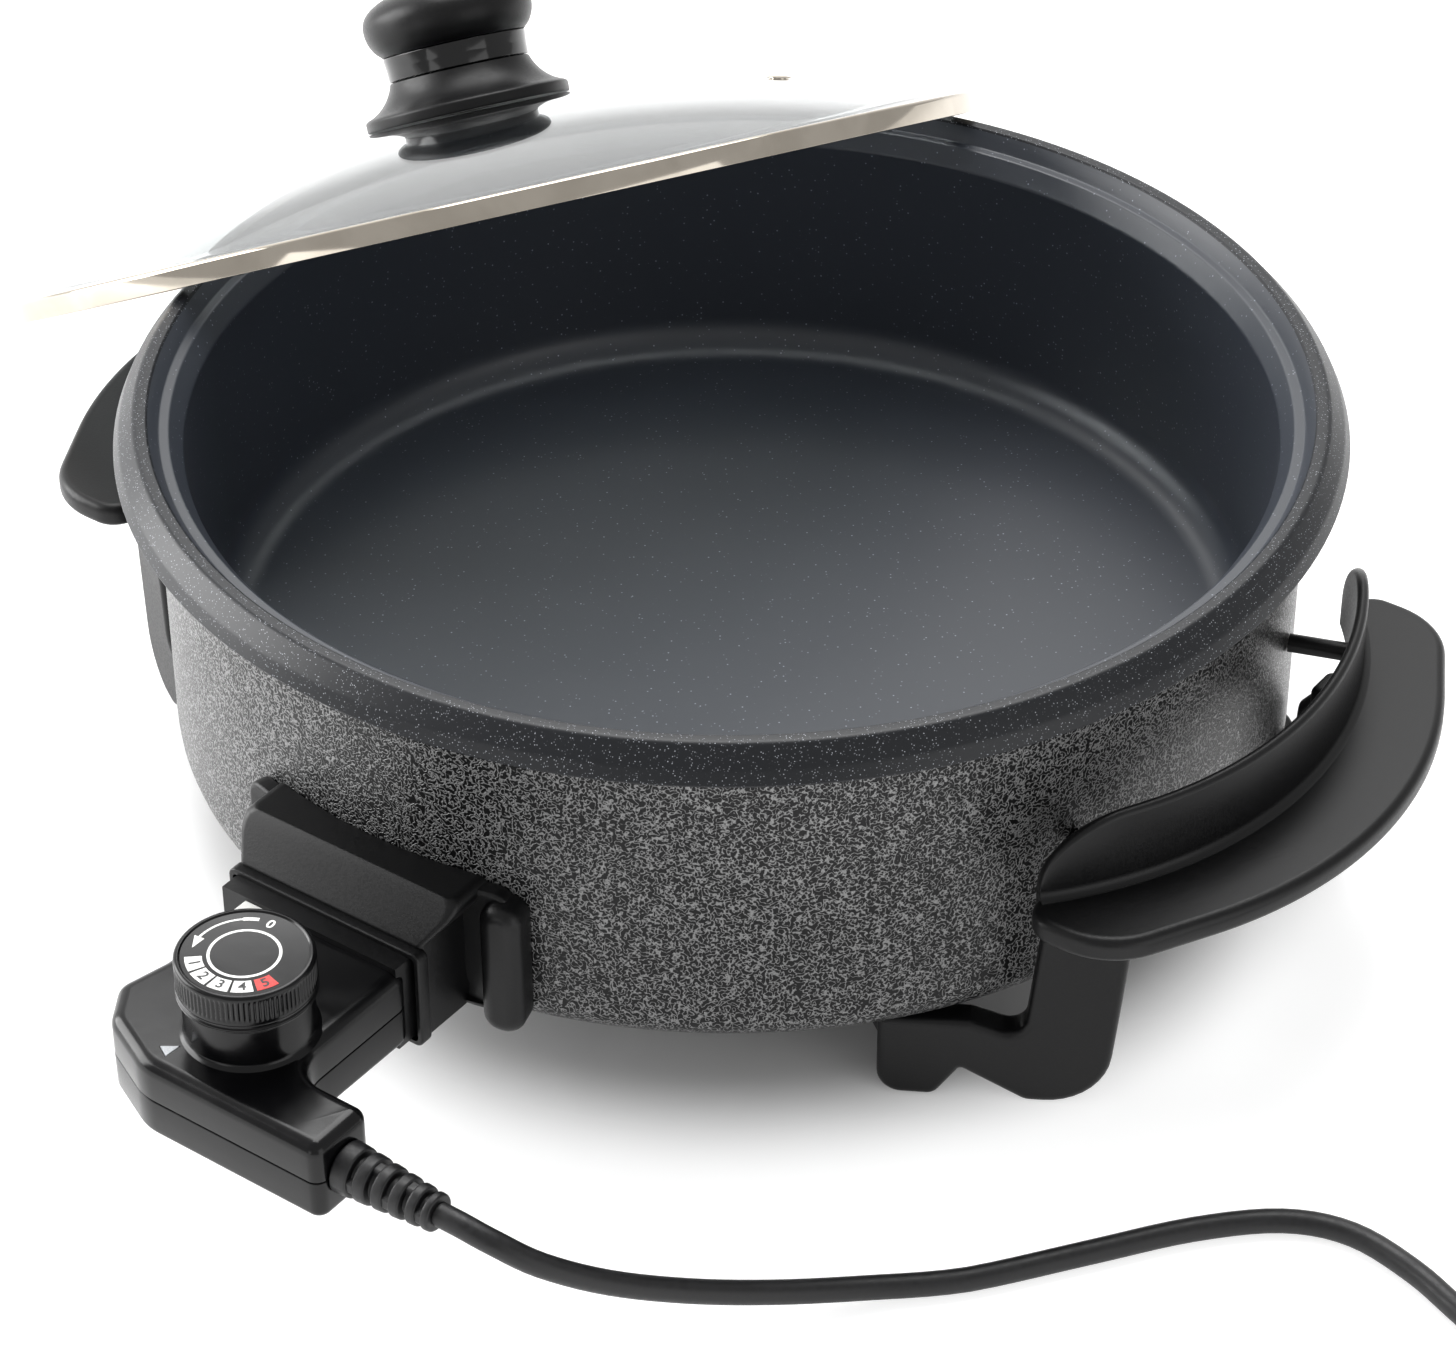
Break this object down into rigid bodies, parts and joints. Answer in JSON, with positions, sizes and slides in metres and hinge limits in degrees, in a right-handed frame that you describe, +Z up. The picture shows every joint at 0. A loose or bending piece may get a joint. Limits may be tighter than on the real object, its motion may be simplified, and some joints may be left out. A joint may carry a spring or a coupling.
{
  "type": "electric frying pan",
  "caption": "Round deep electric frying pan on moulded grips with legs, plug-in thermostat with dial and cord, and a loose domed glass lid leaning on the rim.",
  "frame": {"origin": "on the table, under the middle of the bounding box of the pan, thermostat and leaning lid, without the free cord", "axes": "+Z up; +X to the pan's right, along the line through its two grips, the way the cord leaves; -Y to the front, where the thermostat plugs in"},
  "size_m": [0.8614, 0.6116, 0.2132],
  "materials": {
    "nonstick": "satin dark slate non-stick coating with a fine fleck",
    "hammered_paint": "hammered black and grey enamel",
    "element_sheath": "dull heat-tinted sheath",
    "bright_steel": "plain bright steel",
    "polished_steel": "polished",
    "matt_phenolic": "matt heat-resistant moulding",
    "gloss_moulding": "glossy moulding",
    "white_moulding": "white translucent moulding",
    "grey_print": "pale grey",
    "ceramic": "unglazed",
    "brass": "plain",
    "lead_sleeve": "heat-resistant sleeving",
    "cream_moulding": "cream moulding",
    "rubber": "matt black",
    "seal": "silicone",
    "clear_glass": "clear tempered"
  },
  "bodies": {
    "base": {"inner_pan": "nonstick", "outer_shell": "hammered_paint", "heating_element": "element_sheath", "terminal_pin_left": "bright_steel", "terminal_pin_right": "bright_steel", "probe_tube": "bright_steel", "clamp_plate": "bright_steel", "base_washer": "bright_steel", "base_bolt": "bright_steel", "handle_left": "matt_phenolic", "handle_right": "matt_phenolic", "socket_guard": "matt_phenolic", "terminal_block": "ceramic", "earth_blade": "brass", "handle_screw_1": "bright_steel", "leg_screw_1": "bright_steel", "handle_screw_2": "bright_steel", "leg_screw_2": "bright_steel", "handle_screw_3": "bright_steel", "leg_screw_3": "bright_steel", "handle_screw_4": "bright_steel", "leg_screw_4": "bright_steel", "guard_screw_left": "bright_steel", "guard_screw_right": "bright_steel"},
    "lid": {"lid_glass": "clear_glass", "lid_ring": "polished_steel", "vent_eyelet": "polished_steel", "knob_seal": "seal", "knob_skirt": "matt_phenolic", "knob_band": "gloss_moulding", "knob_cap": "matt_phenolic", "knob_washer": "bright_steel", "knob_screw": "bright_steel"},
    "thermostat": {"housing_upper": "gloss_moulding", "housing_lower": "gloss_moulding", "pilot_lens": "white_moulding", "pointer_mark": "grey_print", "pilot_lamp": "clear_glass", "contact_carrier": "ceramic", "contact_sleeve_left": "brass", "contact_sleeve_right": "brass", "probe_rod": "bright_steel", "switch_base": "cream_moulding", "switch_blade": "brass", "lead_live": "lead_sleeve", "lead_neutral": "lead_sleeve", "case_screw_nose": "bright_steel", "case_screw_arm": "bright_steel", "strain_relief": "rubber", "cord_run": "rubber", "cord_coil": "rubber", "plug_body": "rubber", "plug_pin_left": "bright_steel", "plug_pin_right": "bright_steel"},
    "dial": {"dial": "gloss_moulding", "dial_spindle": "bright_steel"}
  },
  "joints": [
    {"name": "lid_lift", "type": "slide", "parent": "base", "child": "lid", "axis": [0, 0, 1], "range_m": [0, 0.25]},
    {"name": "thermostat_pull", "type": "slide", "parent": "base", "child": "thermostat", "axis": [0, -1, 0], "range_m": [0, 0.1]},
    {"name": "dial_turn", "type": "hinge", "parent": "thermostat", "child": "dial", "pos_m": [0.07063, -0.2733, 0.097], "axis": [0, 0, 1], "range_deg": [-102, 136]}
  ]
}
